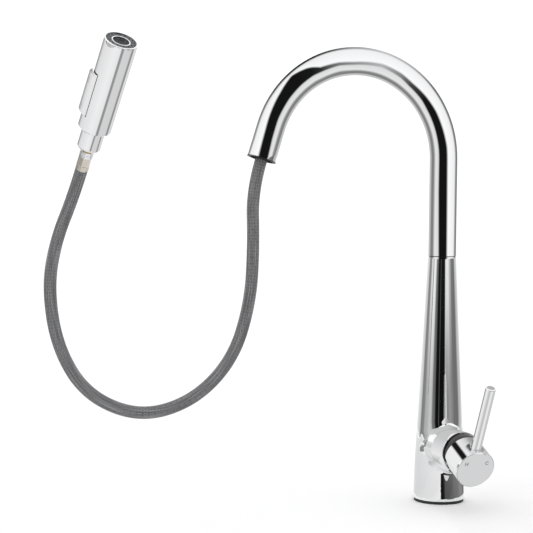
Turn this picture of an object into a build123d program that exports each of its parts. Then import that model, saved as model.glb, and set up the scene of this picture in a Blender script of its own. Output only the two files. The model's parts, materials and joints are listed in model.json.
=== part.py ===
from build123d import *
import math
import os

# Kitchen mixer with a pull-out handset, in millimetres. The origin is on the deck, on the column's axis.
# +Z is up, +X points along the lever boss, and the spout reaches towards -Y.

# Column
GASKET_H = 3.0
BASE_R = 25.4
TUBE_R = 14.0
SHOULDER_R = 24.15
SHOULDER_Z = 52.0
SEAM_Z = 249.0
SEAM_GAP = 0.8
FOOT_WALL = 4.8
CORE_R = BASE_R - FOOT_WALL
CORE_TOP_Z = 85.0
NECK_WALL = 1.8
NECK_R = TUBE_R - NECK_WALL
NECK_DEPTH = 37.0
NECK_Z = SEAM_Z - NECK_DEPTH

# Lever boss and lever
BOSS_Z = 56.0
BOSS_FRONT_X = 50.0
BOSS_FILLET = 5.0
RECESS_X = 35.0
CAP_R = 20.0
CAP_GAP = 0.4
RIM_WALL = 1.1
RECESS_R = CAP_R + CAP_GAP
BOSS_R = RECESS_R + RIM_WALL
CAP_LENGTH = 27.0
CAP_WALL = 3.0
GLIDE_WALL = 1.6
GLIDE_LENGTH = CAP_R - 8.5
PIVOT_X = 54.0
LEVER_TILT = 24.0
ROD_R = 5.0
ROD_REACH = 88.0
ROD_FORWARD = 19.0
SCREW_FORWARD = 14.0

# Cartridge
NUT_STEP = 2.2
CARTRIDGE_STEP = 0.8
NUT_THREAD_R = RECESS_R - NUT_STEP
CARTRIDGE_R = NUT_THREAD_R - CARTRIDGE_STEP
CARTRIDGE_BACK_X = -4.0
CARTRIDGE_FRONT_X = 31.0
TURRET_R = 6.8
PIN_R = 1.25

# Spout
WALL = 1.5
SPOUT_RISE = 98.4
ARCH_Z = SEAM_Z + SPOUT_RISE
ARCH_R = 95.2
ARCH_SWEEP = 162.9
ARCH_TAIL = 31.7
NECK_BUSH_WALL = 1.25
RUNNING = 0.05
SPIGOT_R = NECK_R - NECK_BUSH_WALL - RUNNING
BUSH_LIP_R = TUBE_R + 0.4
BUSH_LIP_H = 0.6

# Hose
HOSE_R = 6.0
HOSE_RUN = 32.0
SPIGOT_BORE_R = HOSE_R + 2.0
SIDE_GAP = 0.3

# Handset
HANDSET_REACH = 366.3
HANDSET_Z = ARCH_Z + 5.9
HANDSET_AXIS = (-0.130, 0.551, 0.824)
BUTTON_SIDE = (0.991, 0.072, 0.108)
HANDSET_LENGTH = 113.9
HANDSET_R = 15.5
TAIL_R = 11.0
DOCK_GAP = 0.4
BUSH_BORE_R = TAIL_R + DOCK_GAP
TAIL_LENGTH = 21.0
SHELL_WALL = 1.6
WATERWAY_R = 7.5
COUPLING_LENGTH = 24.0
BUTTON_Z = 57.5
BUTTON_LENGTH = 43.0
BUTTON_WIDTH = 13.0
BUTTON_PROUD = 3.7
BUTTON_GAP = 0.8
BUTTON_PIN_X = HANDSET_R - 3.5

# Deck fixing
SHANK_R = 16.4
SHANK_BORE_R = 13.5
SHANK_LENGTH = 60.0
DECK_THICKNESS = 12.0


def cylinder(radius, low, high):
    return Pos(0, 0, low) * Cylinder(radius, high - low, align=(Align.CENTER, Align.CENTER, Align.MIN))


def ring(outer, inner, low, high):
    return cylinder(outer, low, high) - cylinder(inner, low - 1, high + 1)


def centred_box(length, width, height, at=(0, 0, 0)):
    return Pos(*at) * Box(length, width, height)


def turned(points):
    """A solid of revolution about Z from (radius, height) points."""
    outline = make_face(Polyline(*[(radius, 0, height) for radius, height in points], close=True))
    return revolve(outline, Axis.Z, 360)


ALONG_X = Rot(0, 90, 0)
BOSS = Pos(0, 0, BOSS_Z) * ALONG_X
LEVER = Pos(PIVOT_X, 0, BOSS_Z) * Rot(0, LEVER_TILT, 0)
SPOUT = Rot(0, 0, -90)
HANDSET = SPOUT * Location(
    Plane(origin=(HANDSET_REACH, 0, HANDSET_Z), x_dir=BUTTON_SIDE, z_dir=HANDSET_AXIS)
)


def taper_radius(height):
    """The column's outer radius on its straight taper."""
    share = (height - SHOULDER_Z) / (SEAM_Z - SHOULDER_Z)
    return SHOULDER_R + (TUBE_R - SHOULDER_R) * share


def column_outline():
    low_taper = Vector(SHOULDER_R, 0, SHOULDER_Z)
    top_taper = Vector(TUBE_R, 0, SEAM_Z)
    taper = Line(low_taper, top_taper)
    foot = TangentArc((SHOULDER_R, 0, SHOULDER_Z), (BASE_R, 0, GASKET_H), tangent=low_taper - top_taper)
    closing = Polyline((BASE_R, 0, GASKET_H), (0, 0, GASKET_H), (0, 0, SEAM_Z), (TUBE_R, 0, SEAM_Z))
    return make_face([taper, foot, closing])


def column_shell():
    """The cast column with its lever boss."""
    outer = revolve(column_outline(), Axis.Z, 360)
    boss = BOSS * cylinder(BOSS_R, 0, BOSS_FRONT_X)
    body = outer + boss
    body = fillet(body.edges().filter_by(GeomType.BSPLINE), BOSS_FILLET)
    core = cylinder(CORE_R, GASKET_H - 1, CORE_TOP_Z)
    top_z = SEAM_Z + 1
    throat = turned([(0, CORE_TOP_Z), (CORE_R, CORE_TOP_Z), (NECK_R, NECK_Z), (NECK_R, top_z), (0, top_z)])
    bore = BOSS * cylinder(NUT_THREAD_R, 0, BOSS_FRONT_X)
    recess = BOSS * cylinder(RECESS_R, RECESS_X, BOSS_FRONT_X + 1)
    return body - core - throat - bore - recess


def base_gasket():
    return ring(BASE_R - 0.3, CORE_R - 2, 0, GASKET_H)


def mounting_shank():
    flange = ring(CORE_R, SHANK_BORE_R, GASKET_H, GASKET_H + 5)
    return flange + ring(SHANK_R, SHANK_BORE_R, -SHANK_LENGTH, GASKET_H + 1)


VALVE_LOW_Z = GASKET_H + 5
VALVE_TOP_Z = CORE_TOP_Z - 1
INLET_Y = 7.2
INLET_R = 4.5
INLET_DEPTH = 12.0
OUTLET_R = 4.0


def valve_block():
    """The brass block that holds the cartridge, with two inlet ports and one outlet port."""
    block = cylinder(CORE_R, VALVE_LOW_Z, VALVE_TOP_Z)
    pocket = BOSS * cylinder(CARTRIDGE_R, CARTRIDGE_BACK_X, CORE_R + 5)
    front = BOSS * cylinder(NUT_THREAD_R, CORE_R - 12, CORE_R + 5)
    block = block - pocket - front
    for side in (-1, 1):
        block -= Pos(0, side * INLET_Y, 0) * cylinder(INLET_R, VALVE_LOW_Z - 1, VALVE_LOW_Z + INLET_DEPTH)
        block -= Pos(0, side * INLET_Y, 0) * cylinder(2, VALVE_LOW_Z, BOSS_Z)
    return block - cylinder(OUTLET_R, BOSS_Z, VALVE_TOP_Z + 1)


def seal_ring(side):
    return Pos(0, side * INLET_Y, 0) * ring(3.6, 2.6, CARTRIDGE_BACK_X, CARTRIDGE_BACK_X + 1.2)


def cartridge_body():
    shell = cylinder(CARTRIDGE_R, CARTRIDGE_BACK_X, CARTRIDGE_FRONT_X) - seal_ring(-1) - seal_ring(1)
    shell -= cylinder(CARTRIDGE_R - 2, CARTRIDGE_BACK_X + 2, CARTRIDGE_FRONT_X - 2)
    return BOSS * (shell - cylinder(TURRET_R + RUNNING, CARTRIDGE_FRONT_X - 3, CARTRIDGE_FRONT_X + 1))


DISC_X = CARTRIDGE_BACK_X + 2
DISC_R = CARTRIDGE_R - 2 - RUNNING
TURRET_FOOT_X = DISC_X + 6


def ceramic_fixed_disc():
    disc = cylinder(DISC_R, DISC_X, DISC_X + 3)
    for side in (-1, 1):
        disc -= Pos(0, side * INLET_Y, 0) * cylinder(2.5, DISC_X - 1, DISC_X + 4)
    return BOSS * disc


def ceramic_moving_disc():
    disc = cylinder(DISC_R - 2, DISC_X + 3 + RUNNING, TURRET_FOOT_X)
    return BOSS * (disc - centred_box(9, 14, 2, (0, 0, DISC_X + 3)))


def turret():
    """The cartridge's turning carrier: a foot plate, a neck and the slot for the spindle."""
    foot = cylinder(DISC_R - 1, TURRET_FOOT_X, TURRET_FOOT_X + 4)
    neck = cylinder(TURRET_R, TURRET_FOOT_X, PIVOT_X + 4)
    slot = centred_box(13, 5.6, 30, (0, 0, PIVOT_X + 6))
    pin_hole = Pos(0, 0, PIVOT_X) * Rot(90, 0, 0) * Cylinder(PIN_R, 40)
    return BOSS * (foot + neck - slot - pin_hole)


def cartridge_nut():
    return BOSS * ring(NUT_THREAD_R, TURRET_R + 1, CARTRIDGE_FRONT_X, RECESS_X)


def cartridge_seals():
    """Two rings in the cartridge's back, round its water ports."""
    return Compound([BOSS * seal_ring(side) for side in (-1, 1)])


def spindle_pin():
    return Pos(PIVOT_X, 0, BOSS_Z) * Rot(90, 0, 0) * Cylinder(PIN_R, 2 * TURRET_R)


SPINDLE_BACK = -8.0
SPINDLE_FRONT = 22.0
SPINDLE_SIZE = 5.0


def spindle():
    stem = centred_box(SPINDLE_FRONT - SPINDLE_BACK, SPINDLE_SIZE, SPINDLE_SIZE)
    stem = Pos((SPINDLE_FRONT + SPINDLE_BACK) / 2, 0, 0) * stem
    return LEVER * (stem - Rot(90, 0, 0) * Cylinder(PIN_R + RUNNING, 20))


def lever_cap():
    """The chrome cap: a cup that faces back over the turret, with a hub for the spindle."""
    cap = fillet(cylinder(CAP_R, 0, CAP_LENGTH).edges().group_by(Axis.Z)[-1], 0.5)
    cup = cap - cylinder(CAP_R - CAP_WALL, -1, CAP_LENGTH - CAP_WALL)
    hub = cylinder(6, 9, CAP_LENGTH - CAP_WALL + 1)
    cup = ALONG_X * (cup + hub)
    cup -= centred_box(2 * SPINDLE_FRONT, SPINDLE_SIZE, SPINDLE_SIZE)
    seat = Pos(ROD_FORWARD, 0, 0) * cylinder(ROD_R - 1, CAP_R - CAP_WALL - 1, CAP_R + 1)
    collar = Pos(ROD_FORWARD, 0, 0) * cylinder(ROD_R + 1, CAP_R - 0.8, CAP_R + 1)
    screw = Pos(SCREW_FORWARD, 0, 0) * cylinder(SCREW_R, -CAP_R - 1, 0)
    return LEVER * (cup - seat - collar - screw)


def lever_glide_ring():
    """A black zone of a ball that closes the gap between the boss and the tilted cap."""
    zone = Sphere(CAP_R) - Sphere(CAP_R - GLIDE_WALL)
    keep = centred_box(GLIDE_LENGTH, 3 * CAP_R, 3 * CAP_R, (-GLIDE_LENGTH / 2, 0, 0))
    return LEVER * (zone & keep)


def lever_rod():
    rod = Pos(ROD_FORWARD, 0, 0) * cylinder(ROD_R, CAP_R - 0.8, ROD_REACH)
    rod = fillet(rod.edges().group_by(Axis.Z)[-1], 1.2)
    return LEVER * (rod + Pos(ROD_FORWARD, 0, 0) * cylinder(ROD_R - 1, CAP_R - CAP_WALL - 0.5, CAP_R))


SCREW_R = 2.0


def lever_grub_screw():
    screw = cylinder(SCREW_R, -CAP_R + 2, -SPINDLE_SIZE / 2)
    socket = Pos(0, 0, -CAP_R + 1.9) * extrude(RegularPolygon(1.0, 6), 2)
    return LEVER * Pos(SCREW_FORWARD, 0, 0) * (screw - socket)


MARK_SIDE = 11.0
MARK_UP = 7.0
MARK_H = 0.15


def hot_mark():
    """A thin inlaid letter made of three bars."""
    bars = centred_box(MARK_H, 0.7, 4, (0, -1.3, 0)) + centred_box(MARK_H, 0.7, 4, (0, 1.3, 0))
    bars += centred_box(MARK_H, 2.6, 0.7)
    return LEVER * Pos(CAP_LENGTH + MARK_H / 2, -MARK_SIDE, MARK_UP) * bars


def cold_mark():
    """A thin inlaid letter made of an open ring."""
    curve = ALONG_X * ring(2.0, 1.3, 0, MARK_H) - centred_box(2, 4, 1.6, (0, 2, 0))
    return LEVER * Pos(CAP_LENGTH, MARK_SIDE, MARK_UP) * curve


def arch_point(angle):
    return Vector(ARCH_R * (1 - math.cos(angle)), 0, ARCH_Z + ARCH_R * math.sin(angle))


def arch_end():
    return arch_point(math.radians(ARCH_SWEEP))


def outlet_direction():
    angle = math.radians(ARCH_SWEEP)
    return Vector(math.sin(angle), 0, math.cos(angle))


def arch_lines():
    angle = math.radians(ARCH_SWEEP)
    bend = ThreePointArc((0, 0, ARCH_Z), arch_point(angle / 2), arch_point(angle))
    tail = Line(arch_end(), arch_end() + outlet_direction() * ARCH_TAIL)
    return bend, tail


def tube_along(lines, radius, start, direction):
    section = Plane(origin=start, z_dir=direction) * Circle(radius)
    return sweep(section, path=Wire(lines))


def spout_lines(low):
    return [Line((0, 0, low), (0, 0, ARCH_Z)), *arch_lines()]


def spout_tube():
    low = SEAM_Z + SEAM_GAP
    outer = tube_along(spout_lines(low), TUBE_R, (0, 0, low), (0, 0, 1))
    inner = tube_along(spout_lines(low), TUBE_R - WALL, (0, 0, low), (0, 0, 1))
    return SPOUT * (outer - inner)


COLLAR_TOP_Z = SEAM_Z + 26.0
GROOVE_R = SPIGOT_R - 1.6


def spout_spigot():
    """The brass spigot: a collar inside the spout's foot, and a stem that turns in the column's neck."""
    collar = cylinder(TUBE_R - WALL, SEAM_Z + SEAM_GAP, COLLAR_TOP_Z)
    stem = cylinder(SPIGOT_R, NECK_Z - 2, SEAM_Z + SEAM_GAP)
    for height in GROOVES:
        stem -= ring(SPIGOT_R + 1, GROOVE_R, height, height + 2.2)
    clip_groove = ring(SPIGOT_R + 1, SPIGOT_R - 0.8, NECK_Z - 0.5, NECK_Z + 0.7)
    return SPOUT * (collar + stem - cylinder(SPIGOT_BORE_R, NECK_Z - 3, COLLAR_TOP_Z + 1) - clip_groove)


GROOVES = (SEAM_Z - 24.0, SEAM_Z - 12.0)
NECK_BUSH_LOW = NECK_Z + 1.0


def spigot_o_rings():
    rings = [ring(SPIGOT_R, GROOVE_R, height + 0.2, height + 2.0) for height in GROOVES]
    return Compound(rings)


def neck_bush():
    return ring(NECK_R, SPIGOT_R + RUNNING, NECK_BUSH_LOW, SEAM_Z - 1)


def seam_glide_ring():
    return ring(TUBE_R - 0.7, SPIGOT_R + RUNNING, SEAM_Z, SEAM_Z + SEAM_GAP)


def spigot_clip():
    clip = ring(SPIGOT_R + 1.0, SPIGOT_R - 0.8, NECK_Z - 0.5, NECK_Z + 0.7)
    return clip - centred_box(20, 6, 6, (-12, 0, NECK_Z))


def outlet_frame():
    end = arch_end() + outlet_direction() * ARCH_TAIL
    return SPOUT * Location(Plane(origin=end, x_dir=(0, 1, 0), z_dir=outlet_direction()))


def outlet_bush():
    """The plastic guide pressed into the spout's mouth; its Z runs out of the mouth."""
    sleeve = ring(TUBE_R - WALL, BUSH_BORE_R, -24, 0)
    return outlet_frame() * (sleeve + ring(BUSH_LIP_R, BUSH_BORE_R, 0, BUSH_LIP_H))


CONNECTOR_TOP_Z = VALVE_TOP_Z + 8.0
INNER_FERRULE_TOP_Z = CONNECTOR_TOP_Z + 14.0
HOSE_SPLIT_Z = NECK_Z - 8.0


def hose_connector():
    connector = cylinder(OUTLET_R, VALVE_TOP_Z - 10, CONNECTOR_TOP_Z)
    connector += cylinder(7.5, VALVE_TOP_Z, VALVE_TOP_Z + 5)
    return connector - cylinder(2.5, VALVE_TOP_Z - 11, CONNECTOR_TOP_Z + 1)


def inner_ferrule():
    return cylinder(HOSE_R + 0.8, CONNECTOR_TOP_Z, INNER_FERRULE_TOP_Z)


def hose_in_column():
    return cylinder(HOSE_R, INNER_FERRULE_TOP_Z, HOSE_SPLIT_Z)


def hose_in_spout():
    lines = spout_lines(HOSE_SPLIT_Z)
    return SPOUT * tube_along(lines, HOSE_R, (0, 0, HOSE_SPLIT_Z), (0, 0, 1))


# The free hose between its straight ends: share of the reach from outlet to handset, side offset, drop.
HOSE_ROUTE = (
    (0.041, -1.0, 83.0),
    (0.053, -3.0, 139.0),
    (0.149, -6.0, 195.0),
    (0.381, -10.0, 235.0),
    (0.685, -15.0, 248.5),
    (0.981, -20.0, 226.0),
    (1.139, -26.0, 180.0),
    (1.180, -34.0, 123.0),
    (1.127, -40.0, 79.0),
)


def hose_points():
    """The free hose's route in the spout's plane: reach, side offset and height."""
    start = arch_end() + outlet_direction() * ARCH_TAIL
    axis = Vector(*HANDSET_AXIS).normalized()
    end = Vector(HANDSET_REACH, 0, HANDSET_Z) - axis * COUPLING_LENGTH
    span = HANDSET_REACH - start.X
    chosen = [Vector(start.X + share * span, side, start.Z - drop) for share, side, drop in HOSE_ROUTE]
    first = start + outlet_direction() * HOSE_RUN
    last = end - axis * HOSE_RUN
    return [start, first, *chosen, last, end]


def hose_radii(points):
    radii = []
    for before, point, after in zip(points, points[1:], points[2:]):
        turn = math.radians((point - before).get_angle(after - point))
        shorter = min((point - before).length, (after - point).length)
        radii.append(0.45 * shorter / math.tan(turn / 2))
    return radii


def spray_hose():
    points = hose_points()
    radii = hose_radii(points)
    route = FilletPolyline(*points, radius=radii)
    tube = tube_along(route.edges(), HOSE_R, points[0], points[1] - points[0])
    print("hose length", round(route.length, 1), "radii", [round(radius) for radius in radii])
    print("tube volume", round(tube.volume), "section x length", round(math.pi * HOSE_R**2 * route.length))
    return SPOUT * tube


def hose_ferrule():
    crimp = Pos(0, 0, -19) * extrude(RegularPolygon(HOSE_R + 0.6, 6), 9.5)
    return HANDSET * (crimp + cylinder(HOSE_R + 0.4, -COUPLING_LENGTH, -19))


def hose_swivel_nut():
    """The ring nut on the hose that holds the neck's flange and lets the handset spin."""
    nut = cylinder(6.7, -9.5, -3.2) - cylinder(5.4, -8.2, -4.6)
    nut -= cylinder(NECK_STEM_R + RUNNING, -5, -3)
    return HANDSET * (nut - ring(7.5, 6.2, -6.6, -5.8))


NECK_STEM_R = 4.4


def handset_neck():
    neck = cylinder(NECK_STEM_R, -7, 8) + cylinder(5.35, -8.15, -4.65)
    return HANDSET * (neck - cylinder(3.0, -9, 9))


def handset_tail():
    tail = fillet(cylinder(TAIL_R, 0, TAIL_LENGTH).edges().group_by(Axis.Z)[0], 1.6)
    tail -= cylinder(NECK_STEM_R, -1, 8)
    tail -= cylinder(WATERWAY_R, 8, TAIL_LENGTH + 1)
    tail += ring(HANDSET_R - SHELL_WALL, WATERWAY_R, TAIL_LENGTH + 1.5, TAIL_LENGTH + 4)
    return HANDSET * (tail + ring(TAIL_R, WATERWAY_R, TAIL_LENGTH - 1, TAIL_LENGTH + 2))


DISTRIBUTOR_Z = HANDSET_LENGTH - 20.0
FACE_Z = HANDSET_LENGTH - 4.4
FACE_TOP_Z = HANDSET_LENGTH - 0.8
FACE_R = HANDSET_R - 1.3
AERATOR_R = 8.7


def button_slot():
    length = BUTTON_LENGTH + 2 * BUTTON_GAP
    width = BUTTON_WIDTH + 2 * BUTTON_GAP
    return centred_box(14, width, length, (HANDSET_R + 2, 0, BUTTON_Z))


def head_shell():
    shell = cylinder(HANDSET_R, TAIL_LENGTH, HANDSET_LENGTH)
    shell = chamfer(shell.edges().group_by(Axis.Z)[0], 1.2)
    shell = fillet(shell.edges().group_by(Axis.Z)[-1], 0.5)
    shell -= cylinder(HANDSET_R - SHELL_WALL, TAIL_LENGTH + 1.5, HANDSET_LENGTH - 7)
    shell -= cylinder(FACE_R, HANDSET_LENGTH - 8, HANDSET_LENGTH + 1)
    shell -= cylinder(TAIL_R, TAIL_LENGTH - 1, TAIL_LENGTH + 2)
    return HANDSET * (shell - button_slot())


def waterway():
    return HANDSET * ring(WATERWAY_R, 5.5, 8, DISTRIBUTOR_Z)


def check_valve():
    body = cylinder(5.5, 10, 20)
    return HANDSET * (body - cylinder(2.5, 9, 15))


def inlet_filter():
    return HANDSET * cylinder(5.5, 8, 9.4)


def flow_distributor():
    plug = cylinder(HANDSET_R - SHELL_WALL, DISTRIBUTOR_Z, HANDSET_LENGTH - 8)
    groove = ring(HANDSET_R, HANDSET_R - SHELL_WALL - 1.8, DISTRIBUTOR_Z + 3, DISTRIBUTOR_Z + 5.2)
    return HANDSET * (plug - groove - cylinder(5.0, DISTRIBUTOR_Z - 1, HANDSET_LENGTH))


def distributor_o_ring():
    low = DISTRIBUTOR_Z + 3.1
    return HANDSET * ring(HANDSET_R - SHELL_WALL, HANDSET_R - SHELL_WALL - 1.8, low, low + 2)


NOZZLE_RINGS = ((AERATOR_R + 1.6, 12), (FACE_R - 1.7, 18))
NOZZLE_R = 0.55


def nozzle_pegs(radius, low, high):
    pegs = []
    for ring_radius, count in NOZZLE_RINGS:
        pegs += [loc * cylinder(radius, low, high) for loc in PolarLocations(ring_radius, count)]
    return pegs


def spray_face():
    """The grey ring plate with its nozzle holes and two wrench notches."""
    plate = ring(FACE_R, AERATOR_R, FACE_Z, FACE_TOP_Z)
    plate -= nozzle_pegs(NOZZLE_R, FACE_Z - 1, FACE_TOP_Z + 1)
    for side in (-1, 1):
        plate -= centred_box(4.4, 2.6, 8, (0, 0, FACE_TOP_Z)).moved(Location((0, side * FACE_R, 0)))
    return HANDSET * plate


def nozzle_mat():
    mat = ring(FACE_R, AERATOR_R, HANDSET_LENGTH - 8, FACE_Z)
    return HANDSET * (mat + nozzle_pegs(NOZZLE_R, FACE_Z - 0.5, FACE_TOP_Z + 0.4))


def aerator_ring():
    return HANDSET * ring(AERATOR_R, AERATOR_R - 1.0, HANDSET_LENGTH - 8, HANDSET_LENGTH - 0.5)


def aerator_mesh():
    return HANDSET * cylinder(AERATOR_R - 1.0, HANDSET_LENGTH - 8, HANDSET_LENGTH - 2.0)


PAD_LOW_X = HANDSET_R - 1.5
PAD_TOP_X = HANDSET_R + BUTTON_PROUD
STEM_R = 1.6
STEM_Z = BUTTON_Z + 14.0
CRADLE_TOP_X = WATERWAY_R + 2.1


def button():
    """The rocker pad, with a rib that hangs on the pin and grip ridges near both ends."""
    height = PAD_TOP_X - PAD_LOW_X
    pad = centred_box(height, BUTTON_WIDTH, BUTTON_LENGTH, (PAD_LOW_X + height / 2, 0, BUTTON_Z))
    pad = pad & cylinder(PAD_TOP_X, BUTTON_Z - BUTTON_LENGTH, BUTTON_Z + BUTTON_LENGTH)
    top = pad.edges().filter_by(lambda edge: edge.center().X > HANDSET_R + 2)
    ends = top.filter_by(lambda edge: abs(edge.center().Z - BUTTON_Z) > 15 and abs(edge.center().Y) < 1)
    pad = chamfer(ends, 2.2)
    rib = centred_box(5, 8, 9, (BUTTON_PIN_X + 1.0, 0, BUTTON_Z))
    pad = pad + rib
    for end in (-1, 1):
        for step in range(4):
            groove = centred_box(0.7, BUTTON_WIDTH, 0.6, (PAD_TOP_X, 0, BUTTON_Z + end * (11 + 1.7 * step)))
            pad -= groove
    pin_hole = Pos(BUTTON_PIN_X, 0, BUTTON_Z) * Rot(90, 0, 0) * Cylinder(1.0 + RUNNING, 20)
    return HANDSET * (pad - pin_hole)


def button_pin():
    return HANDSET * (Pos(BUTTON_PIN_X, 0, BUTTON_Z) * Rot(90, 0, 0) * Cylinder(1.0, 11.4))


def button_cradle():
    """The plastic saddle on the waterway, with two ears for the pin and a guide for the stem."""
    saddle = centred_box(CRADLE_TOP_X, 13, 46, (CRADLE_TOP_X / 2, 0, BUTTON_Z))
    saddle -= cylinder(WATERWAY_R, 0, 100)
    ear_top = BUTTON_PIN_X + 1.6
    ear_foot = CRADLE_TOP_X - 1
    for side in (-1, 1):
        saddle += centred_box(ear_top - ear_foot, 1.4, 7, ((ear_top + ear_foot) / 2, side * 5.0, BUTTON_Z))
    saddle -= Pos(BUTTON_PIN_X, 0, BUTTON_Z) * Rot(90, 0, 0) * Cylinder(1.0, 20)
    return HANDSET * (saddle - stem_rod(STEM_R + RUNNING, 0, 20))


def stem_rod(radius, low, high):
    return Pos(0, 0, STEM_Z) * ALONG_X * cylinder(radius, low, high)


def diverter_stem():
    return HANDSET * stem_rod(STEM_R, WATERWAY_R + 1.2, PAD_LOW_X - 1.4)


def deck_rubber_washer():
    return ring(27, SHANK_R, -DECK_THICKNESS - 3, -DECK_THICKNESS)


def deck_steel_washer():
    return ring(26, SHANK_R, -DECK_THICKNESS - 5, -DECK_THICKNESS - 3)


def shank_nut():
    nut = Pos(0, 0, -DECK_THICKNESS - 14) * extrude(RegularPolygon(23, 6, major_radius=False), 9)
    return nut - cylinder(SHANK_R, -DECK_THICKNESS - 20, 0)


BUILDERS = (
    column_shell, base_gasket, mounting_shank, valve_block, cartridge_body, ceramic_fixed_disc,
    ceramic_moving_disc, turret, cartridge_nut, cartridge_seals, spindle_pin, spindle, lever_cap,
    lever_glide_ring, lever_rod, lever_grub_screw, hot_mark, cold_mark, spout_tube, spout_spigot,
    spigot_o_rings, neck_bush, seam_glide_ring, spigot_clip, outlet_bush, hose_connector, inner_ferrule,
    hose_in_column, hose_in_spout, spray_hose, hose_ferrule, hose_swivel_nut, handset_neck, handset_tail,
    head_shell, waterway, check_valve, inlet_filter, flow_distributor, distributor_o_ring, spray_face,
    nozzle_mat, aerator_ring, aerator_mesh, button, button_pin, button_cradle, diverter_stem,
    deck_rubber_washer, deck_steel_washer, shank_nut,
)

os.makedirs("parts", exist_ok=True)
for build in BUILDERS:
    export_step(build(), f"parts/{build.__name__}.step")

print("outlet", outlet_frame().position, "handset", HANDSET.position)
print("axis", (HANDSET * Pos(0, 0, 1)).position - HANDSET.position)
pin_place = HANDSET * Pos(BUTTON_PIN_X, 0, BUTTON_Z)
print("button pin", pin_place.position, "tangent", (pin_place * Pos(0, 1, 0)).position - pin_place.position)
print("button out", (pin_place * Pos(1, 0, 0)).position - pin_place.position)
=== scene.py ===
import json
import math
import bpy
from mathutils import Matrix, Vector


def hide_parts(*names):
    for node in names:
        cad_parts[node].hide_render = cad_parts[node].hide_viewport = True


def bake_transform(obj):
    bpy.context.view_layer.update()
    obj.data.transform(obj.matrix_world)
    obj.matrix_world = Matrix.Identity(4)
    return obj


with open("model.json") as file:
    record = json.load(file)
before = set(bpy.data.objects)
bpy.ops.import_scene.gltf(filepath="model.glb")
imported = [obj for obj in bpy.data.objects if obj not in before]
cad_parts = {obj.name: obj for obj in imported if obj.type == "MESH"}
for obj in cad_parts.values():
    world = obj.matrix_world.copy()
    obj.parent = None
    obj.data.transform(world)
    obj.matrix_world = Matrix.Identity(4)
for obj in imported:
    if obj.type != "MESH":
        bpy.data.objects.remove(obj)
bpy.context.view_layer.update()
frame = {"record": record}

# The spout's own plane: reach along it, side offset towards the lever, height. Lengths are in metres.
SPOUT_ANGLE = math.radians(-90.0)
ALONG = Vector((math.cos(SPOUT_ANGLE), math.sin(SPOUT_ANGLE), 0))
SIDE = Vector((-math.sin(SPOUT_ANGLE), math.cos(SPOUT_ANGLE), 0))
HOSE_DIAMETER = 0.012
OUTLET = Vector((0, -0.195513, 0.345094))
HANDSET_FOOT = Vector((0, -0.3663, 0.3533))
HANDSET_AXIS = Vector((0.551144, 0.130034, 0.824216)).normalized()
HANDSET_LENGTH = 0.1139
HANDSET_RADIUS = 0.0155
LEVER_PIVOT = Vector((0.054, 0, 0.056))
LEVER_TILT = math.radians(24.0)
CAP_RADIUS = 0.02
CAP_LENGTH = 0.027
ROD_PLACE = 0.019
ROD_RADIUS = 0.005
ROD_REACH = 0.088
BOSS_RADIUS = 0.0215
BOSS_FOOT = 0.026
BOSS_LENGTH = 0.024
SPOUT_RADIUS = 0.014
CAP_AXIS = Vector((math.cos(LEVER_TILT), 0, -math.sin(LEVER_TILT)))
ROD_AXIS = Vector((math.sin(LEVER_TILT), 0, math.cos(LEVER_TILT)))
OUTLET_AXIS = ALONG * math.sin(math.radians(162.9)) + Vector((0, 0, math.cos(math.radians(162.9))))
COUPLING = 0.024
HOSE_RUN = 0.032


def in_spout(reach, side, height):
    """A point of the spout's plane, given in millimetres, in the row frame in metres."""
    return ALONG * (reach / 1000) + SIDE * (side / 1000) + Vector((0, 0, height / 1000))


AZIMUTH = math.radians(70.0)
PITCH = math.radians(3.02)
ROLL = math.radians(0.49)
LENS = 102.3
SENSOR_WIDTH = 36.0
RIGHT = Vector((math.cos(AZIMUTH), math.sin(AZIMUTH), 0))
BACK = Vector((math.sin(AZIMUTH), -math.cos(AZIMUTH), 0))
EYE = RIGHT * -0.178 + BACK * 1.5345 + Vector((0, 0, 0.3183))


def look_camera():
    """The camera stands on the lever's side, 1.5 m away and 0.32 m above the deck."""
    up = Vector((0, 0, math.cos(PITCH))) - BACK * math.sin(PITCH)
    backwards = RIGHT.cross(up)
    tilted_right = RIGHT * math.cos(ROLL) + up * math.sin(ROLL)
    tilted_up = up * math.cos(ROLL) - RIGHT * math.sin(ROLL)
    data = bpy.data.cameras.new("studio_camera")
    data.lens = LENS
    data.sensor_width = SENSOR_WIDTH
    data.clip_end = 20
    camera = bpy.data.objects.new("studio_camera", data)
    bpy.context.collection.objects.link(camera)
    turn = Matrix((tilted_right, tilted_up, backwards)).transposed().to_4x4()
    camera.matrix_world = Matrix.Translation(EYE) @ turn
    bpy.context.scene.camera = camera


look_camera()


class Val:
    """A shader socket that takes arithmetic."""

    def __init__(self, shop, socket):
        self.shop, self.socket = shop, socket

    def _math(self, operation, a, b):
        node = self.shop.node("ShaderNodeMath", {"operation": operation}, {0: a, 1: b})
        return Val(self.shop, node.outputs[0])

    def __add__(self, other):
        return self._math("ADD", self, other)

    __radd__ = __add__

    def __sub__(self, other):
        return self._math("SUBTRACT", self, other)

    def __rsub__(self, other):
        return self._math("SUBTRACT", other, self)

    def __mul__(self, other):
        return self._math("MULTIPLY", self, other)

    __rmul__ = __mul__

    def sine(self):
        return self._math("SINE", self, 0.0)

    def top(self, other):
        return self._math("MAXIMUM", self, other)


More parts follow.
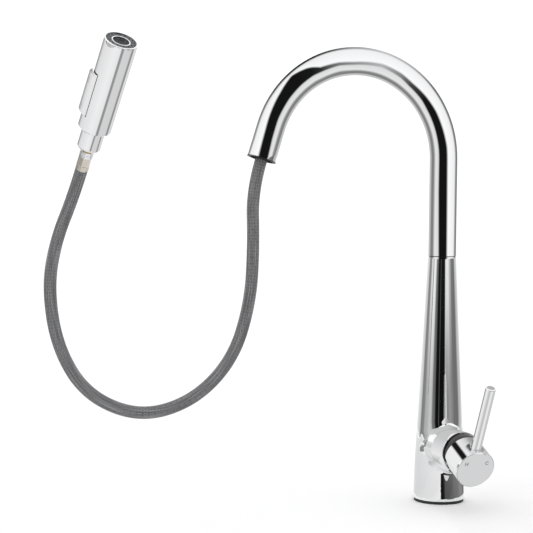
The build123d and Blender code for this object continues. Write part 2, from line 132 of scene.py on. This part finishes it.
class Shop:
    """One material's node tree, with its Principled shader."""

    def __init__(self, name, colour, roughness, metallic=0.0, **plain):
        self.material = bpy.data.materials.new(name)
        self.material.use_nodes = True
        self.material.diffuse_color = (*colour, 1)
        self.tree = self.material.node_tree
        self.shader = self.tree.nodes["Principled BSDF"]
        self.shader.inputs["Base Color"].default_value = (*colour, 1)
        self.shader.inputs["Roughness"].default_value = roughness
        self.shader.inputs["Metallic"].default_value = metallic
        for socket, value in plain.items():
            self.shader.inputs[socket.replace("_", " ")].default_value = value

    def node(self, kind, settings=None, inputs=None):
        node = self.tree.nodes.new(kind)
        for key, value in (settings or {}).items():
            if key == "stops":
                ramp = node.color_ramp
                while len(ramp.elements) < len(value):
                    ramp.elements.new(0.5)
                for element, (place, colour) in zip(ramp.elements, value):
                    element.position, element.color = place, (*colour, 1)
            else:
                setattr(node, key, value)
        for key, value in (inputs or {}).items():
            socket = node.inputs[key]
            if isinstance(value, Val):
                self.tree.links.new(value.socket, socket)
            else:
                socket.default_value = value
        return node

    def out(self, kind, output=0, settings=None, inputs=None):
        return Val(self, self.node(kind, settings, inputs).outputs[output])

    def place(self):
        return self.out("ShaderNodeTexCoord", "Object")

    def noise(self, scale, detail=3.0, where=None):
        inputs = {"Vector": where or self.place(), "Scale": scale, "Detail": detail}
        return self.out("ShaderNodeTexNoise", "Fac", {}, inputs)

    def blend(self, factor, first, second):
        settings = {"data_type": "RGBA"}
        inputs = {0: factor, 6: first, 7: second}
        return self.out("ShaderNodeMix", 2, settings, inputs)

    def feed(self, socket, value):
        self.tree.links.new(value.socket, self.shader.inputs[socket])

    def bump(self, height, depth, strength=1.0):
        inputs = {"Height": height, "Distance": depth, "Strength": strength}
        self.feed("Normal", self.out("ShaderNodeBump", 0, {}, inputs))


def chrome():
    shop = Shop("polished_chrome", (0.88, 0.885, 0.895), 0.04, 1.0)
    shop.feed("Roughness", shop.noise(25.0, 2.0) * 0.03 + 0.025)
    tone = shop.noise(12.0, 2.0)
    shop.feed("Base Color", shop.blend(tone, (0.86, 0.865, 0.875, 1), (0.92, 0.92, 0.93, 1)))
    return shop.material


def worn_metal(name, low, high, roughness, grain=600.0, depth=0.00002):
    """A machined or plated metal with fine turning marks and slight tarnish."""
    shop = Shop(name, high, roughness, 1.0)
    tone = shop.noise(160.0, 5.0)
    shop.feed("Base Color", shop.blend(tone, (*low, 1), (*high, 1)))
    shop.feed("Roughness", shop.noise(350.0, 3.0) * 0.2 + (roughness - 0.1))
    shop.bump(shop.noise(grain, 3.0), depth)
    return shop.material


def moulded(name, low, high, roughness, grain=1400.0, depth=0.00002):
    """A moulded plastic or rubber with a fine grain."""
    shop = Shop(name, high, roughness)
    tone = shop.noise(220.0, 4.0)
    shop.feed("Base Color", shop.blend(tone, (*low, 1), (*high, 1)))
    shop.feed("Roughness", shop.noise(500.0, 3.0) * 0.15 + (roughness - 0.07))
    shop.bump(shop.noise(grain, 3.0), depth)
    return shop.material


BRAID_TURNS = 24
BRAID_PITCH = 0.006


def braided_nylon():
    """Two sets of threads that cross round the hose; U runs round it and V along it, in metres."""
    shop = Shop("braided_nylon", (0.09, 0.09, 0.095), 0.5)
    split = shop.node("ShaderNodeSeparateXYZ", {}, {0: shop.out("ShaderNodeTexCoord", "UV")})
    around, along = Val(shop, split.outputs[0]), Val(shop, split.outputs[1])
    turn = around * (2 * math.pi * BRAID_TURNS)
    climb = along * (2 * math.pi / BRAID_PITCH)
    one, two = (turn + climb).sine(), (turn - climb).sine()
    threads = one.top(two)
    stretched = shop.out("ShaderNodeCombineXYZ", 0, {}, {0: around, 1: along * 0.6})
    streak = shop.noise(42.0, 3.0, where=stretched)
    tone = threads * 0.14 + streak * 0.8
    stops = ((0.3, (0.06, 0.06, 0.063)), (0.5, (0.15, 0.15, 0.155)), (0.68, (0.34, 0.343, 0.35)))
    shop.feed("Base Color", shop.out("ShaderNodeValToRGB", 0, {"stops": stops}, {0: tone}))
    shop.feed("Roughness", threads * 0.1 + 0.42)
    shop.bump(threads, 0.00025, 0.8)
    return shop.material


SCREEN_WEAVE = 5200.0


def mesh_screen():
    """A dark woven screen."""
    shop = Shop("aerator_screen", (0.02, 0.02, 0.02), 0.5)
    split = shop.node("ShaderNodeSeparateXYZ", {}, {0: shop.place()})
    x, y = Val(shop, split.outputs[0]), Val(shop, split.outputs[1])
    weave = (x * SCREEN_WEAVE).sine().top((y * SCREEN_WEAVE).sine())
    shop.feed("Base Color", shop.blend(weave, (0.004, 0.004, 0.004, 1), (0.035, 0.035, 0.035, 1)))
    shop.feed("Roughness", weave * 0.2 + 0.35)
    shop.bump(weave, 0.0003)
    return shop.material


FINISHES = {
    "chrome": chrome(),
    "brass": worn_metal("machined_brass", (0.42, 0.27, 0.1), (0.72, 0.52, 0.24), 0.25),
    "nickel": worn_metal("plated_crimp", (0.58, 0.53, 0.46), (0.88, 0.83, 0.75), 0.2),
    "steel": worn_metal("plain_steel", (0.4, 0.4, 0.41), (0.62, 0.62, 0.63), 0.32),
    "black_rubber": moulded("black_rubber", (0.008, 0.008, 0.008), (0.02, 0.02, 0.02), 0.7),
    "black_plastic": moulded("black_plastic", (0.004, 0.004, 0.004), (0.012, 0.012, 0.013), 0.42),
    "grey_plastic": moulded("face_plastic", (0.045, 0.05, 0.055), (0.09, 0.1, 0.105), 0.4),
    "white_plastic": moulded("white_acetal", (0.6, 0.6, 0.57), (0.75, 0.75, 0.72), 0.4),
    "ceramic": moulded("polished_ceramic", (0.75, 0.73, 0.68), (0.85, 0.83, 0.79), 0.15),
    "braid": braided_nylon(),
    "mark_grey": moulded("index_paint", (0.2, 0.2, 0.21), (0.28, 0.28, 0.29), 0.5),
}


def finish_nodes():
    """Every CAD node gets the material of its slot."""
    slots = {part["node"]: part["material_slot"] for part in frame["record"]["subparts"]}
    for name, slot in slots.items():
        piece = bpy.data.objects[name]
        piece.data.materials.clear()
        piece.data.materials.append(FINISHES[slot])
    bpy.data.objects["aerator_mesh"].data.materials[0] = mesh_screen()


def hose_route():
    """The free hose's route, from the spout's mouth to the coupling."""
    foot = HANDSET_FOOT - HANDSET_AXIS * COUPLING
    chosen = (
        (202.5, -1.0, 262.1),
        (204.6, -3.0, 206.1),
        (221.0, -6.0, 150.1),
        (260.6, -10.0, 110.1),
        (312.5, -15.0, 96.6),
        (363.1, -20.0, 119.1),
        (390.0, -26.0, 165.1),
        (397.0, -34.0, 222.1),
        (388.0, -40.0, 266.1),
    )
    first, last = OUTLET + OUTLET_AXIS * HOSE_RUN, foot - HANDSET_AXIS * HOSE_RUN
    return [OUTLET, first, *[in_spout(*point) for point in chosen], last, foot]


def smooth_line(name, points, resolution=24):
    """The points of a smooth spline with these control points."""
    curve = bpy.data.curves.new(name, "CURVE")
    curve.dimensions = "3D"
    spline = curve.splines.new("NURBS")
    spline.points.add(len(points) - 1)
    for control, point in zip(spline.points, points):
        control.co = (*point, 1)
    spline.order_u = 3
    spline.use_endpoint_u = True
    spline.resolution_u = resolution
    holder = bpy.data.objects.new(name, curve)
    bpy.context.collection.objects.link(holder)
    bpy.context.view_layer.update()
    line = bpy.data.meshes.new_from_object(holder)
    path = [vertex.co.copy() for vertex in line.vertices]
    bpy.data.objects.remove(holder)
    bpy.data.meshes.remove(line)
    return path


HOSE_SIDES = 40


def braided_hose():
    """The hose's skin, one ring of vertices at each point of its smooth line."""
    path = smooth_line("hose_line", hose_route())
    radius = HOSE_DIAMETER / 2
    verts, lengths, travelled = [], [], 0.0
    normal = SIDE.copy()
    for index, point in enumerate(path):
        ahead = path[min(index + 1, len(path) - 1)] - path[max(index - 1, 0)]
        ahead.normalize()
        normal = (normal - ahead * normal.dot(ahead)).normalized()
        across = ahead.cross(normal)
        if index:
            travelled += (point - path[index - 1]).length
        lengths.append(travelled)
        for side in range(HOSE_SIDES):
            angle = 2 * math.pi * side / HOSE_SIDES
            verts.append(point + (normal * math.cos(angle) + across * math.sin(angle)) * radius)
    faces = []
    for row in range(len(path) - 1):
        for side in range(HOSE_SIDES):
            after = (side + 1) % HOSE_SIDES
            low, high = row * HOSE_SIDES, (row + 1) * HOSE_SIDES
            faces.append((low + side, low + after, high + after, high + side))
    last = (len(path) - 1) * HOSE_SIDES
    faces.append(tuple(range(HOSE_SIDES))[::-1])
    faces.append(tuple(last + side for side in range(HOSE_SIDES)))
    mesh = bpy.data.meshes.new("braided_hose")
    mesh.from_pydata(verts, [], faces)
    wrap = mesh.uv_layers.new(name="wrap")
    for polygon in mesh.polygons:
        polygon.use_smooth = len(polygon.vertices) == 4
        sides = [vertex % HOSE_SIDES for vertex in polygon.vertices]
        seam = max(sides) - min(sides) > HOSE_SIDES / 2
        for loop, side in zip(polygon.loop_indices, sides):
            row = mesh.loops[loop].vertex_index // HOSE_SIDES
            turn = HOSE_SIDES if seam and side == 0 else side
            wrap.data[loop].uv = (turn / HOSE_SIDES, lengths[row])
    mesh.materials.append(FINISHES["braid"])
    hose = bpy.data.objects.new("braided_hose", mesh)
    bpy.context.collection.objects.link(hose)
    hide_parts("spray_hose")
    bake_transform(hose)
    return hose


finish_nodes()
braided_hose()


def glow_material():
    """A card's own light, read from the mesh's shade attribute."""
    shop = Shop("card_glow", (0, 0, 0), 1.0, Specular_IOR_Level=0.0, Emission_Strength=1.0)
    shade = shop.out("ShaderNodeAttribute", "Color", {"attribute_name": "shade"})
    shop.feed("Emission Color", shade)
    return shop.material


GLOW = glow_material()


def card(name, verts, shades, faces):
    """A card with a shade at each vertex, hidden from the camera, soft light and shadows."""
    mesh = bpy.data.meshes.new(name)
    mesh.from_pydata(verts, [], faces)
    layer = mesh.color_attributes.new("shade", "FLOAT_COLOR", "POINT")
    for place, shade in zip(layer.data, shades):
        place.color = (shade, shade, shade, 1)
    mesh.materials.append(GLOW)
    piece = bpy.data.objects.new(name, mesh)
    bpy.context.collection.objects.link(piece)
    piece.visible_camera = False
    piece.visible_diffuse = False
    piece.visible_shadow = False


def band(name, rings, stops):
    """A band round the column: rings are (radius, height), stops are (degrees to the right, shades)."""
    verts, shades, faces = [], [], []
    count = len(rings)
    for degrees, levels in stops:
        turn = math.radians(degrees)
        out = RIGHT * math.sin(turn) + BACK * math.cos(turn)
        for (radius, height), level in zip(rings, levels):
            verts.append(out * radius + Vector((0, 0, height)))
            shades.append(level)
    for column in range(len(stops) - 1):
        for row in range(count - 1):
            low = column * count + row
            faces.append((low, low + 1, low + count + 1, low + count))
    card(name, verts, shades, faces)


def sleeve(name, stations, radius, reach):
    """Cards round a tube where the camera sees them reflected along the tube.

    They are placed from the camera's own position, so they suit its view at rest alone.
    A station is a point on the tube's centre line with its stops: degrees round the tube from the side
    that faces the camera, and the shade seen there.
    """
    verts, shades, faces = [], [], []
    count = len(stations[0][1])
    last = len(stations) - 1
    for index, (centre, stops) in enumerate(stations):
        axis = (stations[min(index + 1, last)][0] - stations[max(index - 1, 0)][0]).normalized()
        view = (EYE - centre).normalized()
        facing = (view - axis * view.dot(axis)).normalized()
        for degrees, shade in stops:
            turn = math.radians(degrees)
            normal = facing * math.cos(turn) + axis.cross(facing) * math.sin(turn)
            spot = centre + normal * radius
            view = (EYE - spot).normalized()
            verts.append(spot + (normal * 2 * normal.dot(view) - view) * reach)
            shades.append(shade)
    for index in range(last):
        for row in range(count - 1):
            low = index * count + row
            faces.append((low, low + 1, low + count + 1, low + count))
    card(name, verts, shades, faces)


SLEEVE_STEPS = 6
FACING_SIDES = 24


def straight_sleeve(name, foot, tip, radius, stops, reach):
    stations = [(foot.lerp(tip, step / SLEEVE_STEPS), stops) for step in range(SLEEVE_STEPS + 1)]
    sleeve(name, stations, radius, reach)


def facing_card(name, centre, axis, radius, shade, reach):
    """A round card that a flat round face reflects all over, also placed from the camera's position."""
    across = axis.orthogonal().normalized()
    upright = axis.cross(across)
    verts = []
    for step in range(FACING_SIDES):
        turn = 2 * math.pi * step / FACING_SIDES
        spot = centre + (across * math.cos(turn) + upright * math.sin(turn)) * radius
        view = (EYE - spot).normalized()
        verts.append(spot + (axis * 2 * axis.dot(view) - view) * reach)
    card(name, verts, [shade] * FACING_SIDES, [tuple(range(FACING_SIDES))])


ARCH_HEIGHT = 0.3474
ARCH_RADIUS = 0.0952
# Along the spout from its mouth, degrees of arc: the dark strip's edges and shade, the outer edge's shade.
ARCH_STRIP = (
    (-2, -13, 18, 0.008, 0.3),
    (10, -14, 16, 0.008, 0.3),
    (22, -18, 14, 0.008, 0.25),
    (36, -26, 13, 0.008, 0.1),
    (47, -40, 11, 0.008, 0.03),
    (56, -24, 10, 0.01, 0.01),
    (62, -2, 10, 0.03, 0.01),
    (74, 4, 10, 0.2, 0.1),
    (84, 6, 11, 0.3, 0.35),
    (102, -2, 5, 0.5, 0.6),
    (116, -2, 8, 0.25, 0.5),
    (126, 0, 12, 0.06, 0.4),
    (138, -5, 12, 0.01, 0.15),
    (150, -10, 14, 0.008, 0.2),
    (172, -13, 16, 0.008, 0.22),
    (200, -14, 16, 0.008, 0.24),
    (239, -16, 12, 0.008, 0.25),
)


def arch_stations():
    stations = []
    for degrees, low, high, shade, edge in ARCH_STRIP:
        turn = math.radians(180 - degrees)
        reach = ARCH_RADIUS * (1 - math.cos(turn)) if turn > 0 else 0.0
        rise = ARCH_HEIGHT + ARCH_RADIUS * (math.sin(turn) if turn > 0 else turn)
        stops = (
            (-80, edge), (-62, edge), (-52, 0.95), (low - 8, 1.08), (low, shade), (high, shade),
            (high + 6, 0.8), (33, 0.88), (43, 0.26), (54, 0.22), (62, 0.6), (80, 0.62),
        )
        stations.append((ALONG * reach + Vector((0, 0, rise)), stops))
    return stations


HEAD_STOPS = (
    (-80, 0.3), (-68, 0.4), (-58, 0.78), (-10, 0.95), (9, 0.88), (12, 0.3), (17, 0.32), (21, 0.72),
    (46, 0.7), (50, 0.3), (56, 0.3), (61, 0.8), (72, 0.8), (80, 0.4),
)
ROD_STOPS = (
    (-80, 0.1), (-66, 0.12), (-50, 0.85), (-30, 0.95), (-8, 0.6), (4, 0.55), (14, 0.9), (34, 0.9),
    (44, 0.5), (58, 0.75), (80, 0.35),
)
CAP_STOPS = (
    (-78, 0.55), (-60, 0.3), (-40, 0.4), (-24, 0.75), (-6, 0.92), (-1, 0.01), (11, 0.01), (16, 0.95),
    (50, 0.92), (80, 0.75),
)
BOSS_STOPS = ((-80, 0.35), (-55, 0.6), (-20, 0.62), (0, 0.75), (25, 0.9), (45, 0.5), (60, 0.85), (80, 0.7))


WALL_RADIUS = 3.0
WALL_RINGS = tuple((WALL_RADIUS, height) for height in (0.0, 0.12, 0.28, 0.45, 0.62))
DARK = (0.006, 0.006, 0.008, 0.01, 0.02)
WALL_STOPS = (
    (-180, (0.9, 0.9, 0.9, 0.9, 0.9)),
    (-138, (0.72, 0.72, 0.75, 0.8, 0.9)),
    (-124, (0.6, 0.6, 0.62, 0.7, 0.9)),
    (-118, (0.24, 0.24, 0.26, 0.28, 0.4)),
    (-98, (0.26, 0.26, 0.28, 0.3, 0.45)),
    (-90, (0.45, 0.55, 0.72, 0.85, 0.9)),
    (-62, (0.64, 0.76, 0.95, 1.0, 1.0)),
    (-52, (0.52, 0.6, 0.75, 0.85, 0.95)),
    (-47, (0.2, 0.2, 0.22, 0.3, 0.4)),
    (-34, (0.11, 0.11, 0.11, 0.12, 0.2)),
    (-30, DARK),
    (-15, DARK),
    (-14, (0.08, 0.08, 0.08, 0.08, 0.08)),
    (-11, (0.08, 0.08, 0.08, 0.08, 0.08)),
    (-10, DARK),
    (17, DARK),
    (20, (0.3, 0.35, 0.45, 0.5, 0.6)),
    (23, (0.5, 0.5, 0.75, 0.85, 0.9)),
    (28, (0.24, 0.4, 0.75, 0.95, 1.0)),
    (48, (0.4, 0.58, 0.88, 1.0, 1.0)),
    (58, (0.28, 0.36, 0.5, 0.65, 0.8)),
    (72, (0.18, 0.18, 0.2, 0.22, 0.4)),
    (100, (0.17, 0.17, 0.18, 0.2, 0.35)),
    (112, (0.5, 0.5, 0.6, 0.7, 0.8)),
    (145, (0.75, 0.75, 0.8, 0.9, 0.9)),
    (180, (0.9, 0.9, 0.9, 0.9, 0.9)),
)
FLOOR_CARD_HEIGHT = 0.0006
FLOOR_RINGS = tuple((radius, FLOOR_CARD_HEIGHT) for radius in (0.05, 0.3, 0.6))
FLOOR_STOPS = (
    (-180, (0.8, 0.8, 0.85)),
    (-120, (0.74, 0.76, 0.8)),
    (-60, (0.8, 0.82, 0.85)),
    (-1, (0.92, 0.9, 0.88)),
    (0.5, (0.7, 0.7, 0.7)),
    (2, (0.008, 0.008, 0.01)),
    (12, (0.01, 0.01, 0.012)),
    (20, (0.09, 0.1, 0.11)),
    (60, (0.17, 0.18, 0.2)),
    (95, (0.27, 0.27, 0.27)),
    (125, (0.15, 0.15, 0.16)),
    (138, (0.5, 0.5, 0.5)),
    (180, (0.8, 0.8, 0.85)),
)
FAR_RINGS = tuple((radius, FLOOR_CARD_HEIGHT) for radius in (0.6, WALL_RADIUS))
FAR_STOPS = tuple((degrees, (levels[0], levels[0])) for degrees, levels in WALL_STOPS)


SKY_STRENGTH = 1.12
WIDE_REACH = 0.025
CAP_CARD_REACH = 0.014
FACE_CARD_REACH = 0.012
ROD_CARD_REACH = 0.008


def studio():
    """A white floor and surroundings, and the cards."""
    bpy.ops.object.select_all(action="DESELECT")
    bpy.ops.mesh.primitive_plane_add(size=12, location=(0, 0, 0))
    floor = bpy.context.object
    floor.name = "studio_floor"
    white = Shop("studio_white", (0.93, 0.93, 0.93), 0.9)
    floor.data.materials.append(white.material)
    world = bpy.data.worlds.new("studio_world")
    bpy.context.scene.world = world
    world.use_nodes = True
    sky = world.node_tree.nodes["Background"]
    sky.inputs["Color"].default_value = (1, 1, 1, 1)
    sky.inputs["Strength"].default_value = SKY_STRENGTH
    band("wall_card", WALL_RINGS, WALL_STOPS)
    band("floor_card", FLOOR_RINGS, FLOOR_STOPS)
    band("far_floor_card", FAR_RINGS, FAR_STOPS)
    sleeve("arch_card", arch_stations(), SPOUT_RADIUS, WIDE_REACH)
    head_top = HANDSET_FOOT + HANDSET_AXIS * HANDSET_LENGTH
    straight_sleeve("head_card", HANDSET_FOOT, head_top, HANDSET_RADIUS, HEAD_STOPS, WIDE_REACH)
    cap_front = LEVER_PIVOT + CAP_AXIS * CAP_LENGTH
    straight_sleeve("cap_card", LEVER_PIVOT, cap_front, CAP_RADIUS, CAP_STOPS, CAP_CARD_REACH)
    rod_foot = LEVER_PIVOT + CAP_AXIS * ROD_PLACE + ROD_AXIS * 0.02
    straight_sleeve("rod_card", rod_foot, rod_foot + ROD_AXIS * 0.07, ROD_RADIUS, ROD_STOPS, ROD_CARD_REACH)
    rod_top = LEVER_PIVOT + CAP_AXIS * ROD_PLACE + ROD_AXIS * ROD_REACH
    facing_card("tip_card", rod_top, ROD_AXIS, ROD_RADIUS, 0.5, ROD_CARD_REACH)
    boss_foot = Vector((BOSS_FOOT, 0, LEVER_PIVOT.z))
    boss_face = boss_foot + Vector((BOSS_LENGTH, 0, 0))
    straight_sleeve("boss_card", boss_foot, boss_face, BOSS_RADIUS, BOSS_STOPS, FACE_CARD_REACH)
    facing_card("face_card", cap_front, CAP_AXIS, 0.021, 0.72, FACE_CARD_REACH)
    bpy.context.scene.view_settings.view_transform = "Standard"


studio()
